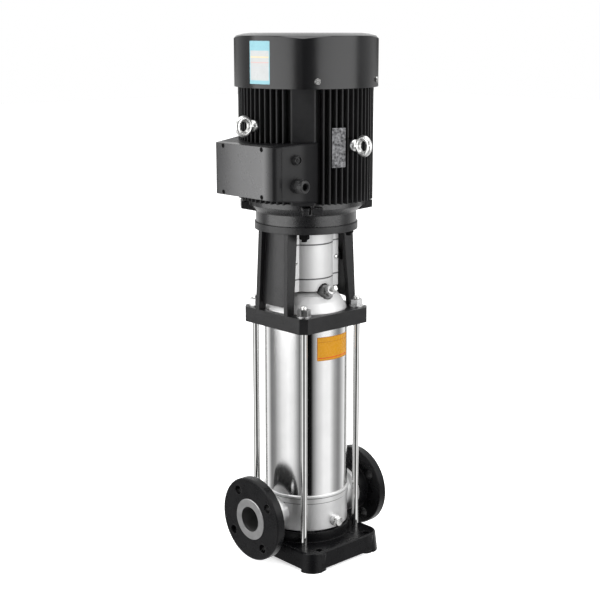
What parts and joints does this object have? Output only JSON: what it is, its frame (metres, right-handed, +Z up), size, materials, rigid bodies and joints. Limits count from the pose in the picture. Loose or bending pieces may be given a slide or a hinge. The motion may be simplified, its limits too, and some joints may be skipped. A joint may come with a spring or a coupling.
{
  "type": "vertical multistage pump",
  "caption": "Vertical multistage centrifugal pump with in-line loose flanges, sleeve and staybolts, guarded split coupling and a finned flange motor with terminal box.",
  "frame": {"origin": "on the floor under the shaft, at the centre of the base bolt holes", "axes": "+Z up along the shaft, +X from the suction port to the discharge port, -Y the side with the vent and drain plugs"},
  "size_m": [0.325, 0.3065, 1.028],
  "materials": {
    "cast_iron_black": "satin, painted black",
    "cast_stainless": "matt, blasted casting",
    "sleeve_steel": "polished",
    "guard_steel": "bright sheet",
    "bolt_steel": "bright",
    "zinc_steel": "bright zinc",
    "machined_steel": "turned",
    "pump_steel": "pressed stainless",
    "motor_black": "satin black paint on a die casting",
    "cover_black": "satin black paint on sheet steel",
    "box_grey": "satin dark grey paint on a die casting",
    "gasket_rubber": "matt",
    "ring_plastic": "plain",
    "bush_ceramic": "lapped",
    "fan_plastic": "plain",
    "gland_plastic": "plain",
    "block_plastic": "moulded",
    "core_steel": "laminated",
    "winding_copper": "enamelled wire",
    "plate_metal": "bare dark plate",
    "screw_brass": "turned"
  },
  "bodies": {
    "pump_body": {"base_plate": "cast_iron_black", "base_chamber": "cast_stainless", "port_rings": "cast_stainless", "drain_plug": "bolt_steel", "outer_sleeve": "sleeve_steel", "sleeve_seals": "gasket_rubber", "stage_chambers": "pump_steel", "wear_rings": "ring_plastic", "shaft_bushes": "bush_ceramic", "top_chamber": "pump_steel", "pump_head": "cast_stainless", "vent_plug": "bolt_steel", "seal_seat": "bush_ceramic", "motor_stool": "cast_iron_black", "staybolts": "bolt_steel", "staybolt_washers": "zinc_steel", "staybolt_nuts": "zinc_steel", "front_guard": "guard_steel", "rear_guard": "guard_steel", "guard_screws": "bolt_steel", "motor_bolts": "cover_black", "lower_end_shield": "motor_black", "motor_frame": "motor_black", "shield_bolts": "cover_black", "upper_end_shield": "motor_black", "stator_core": "core_steel", "stator_windings": "winding_copper", "bearing_outer_rings": "machined_steel", "fan_cover": "cover_black", "fan_cover_screws": "zinc_steel", "eye_bolts": "zinc_steel", "terminal_box": "box_grey", "terminal_box_lid": "box_grey", "lid_screws": "cover_black", "terminal_block": "block_plastic", "cable_gland": "gland_plastic", "blanking_plug": "gland_plastic", "nameplate": "plate_metal"},
    "rotor": {"motor_shaft": "machined_steel", "rotor_core": "core_steel", "fan": "fan_plastic", "bearing_inner_rings": "machined_steel", "coupling_left": "machined_steel", "coupling_right": "machined_steel", "coupling_screws": "zinc_steel", "coupling_pin": "machined_steel", "pump_shaft": "machined_steel", "impellers": "pump_steel", "impeller_spacers": "machined_steel", "shaft_nut": "machined_steel", "seal_ring": "machined_steel"},
    "suction_flange": {"suction_flange": "cast_iron_black"},
    "discharge_flange": {"discharge_flange": "cast_iron_black"},
    "vent_screw": {"vent_screw": "screw_brass"}
  },
  "joints": [
    {"name": "rotor_spin", "type": "hinge", "parent": "pump_body", "child": "rotor", "pos_m": [0, 0, 0.6], "axis": [0, 0, 1], "continuous": true},
    {"name": "suction_flange_swivel", "type": "hinge", "parent": "pump_body", "child": "suction_flange", "pos_m": [-0.14, 0, 0.095], "axis": [1, 0, 0], "continuous": true},
    {"name": "discharge_flange_swivel", "type": "hinge", "parent": "pump_body", "child": "discharge_flange", "pos_m": [0.14, 0, 0.095], "axis": [1, 0, 0], "continuous": true},
    {"name": "vent_screw_turn", "type": "hinge", "parent": "pump_body", "child": "vent_screw", "pos_m": [0, -0.06202, 0.54079], "axis": [0, -0.9135, 0.4067], "range_deg": [0, 540]}
  ]
}
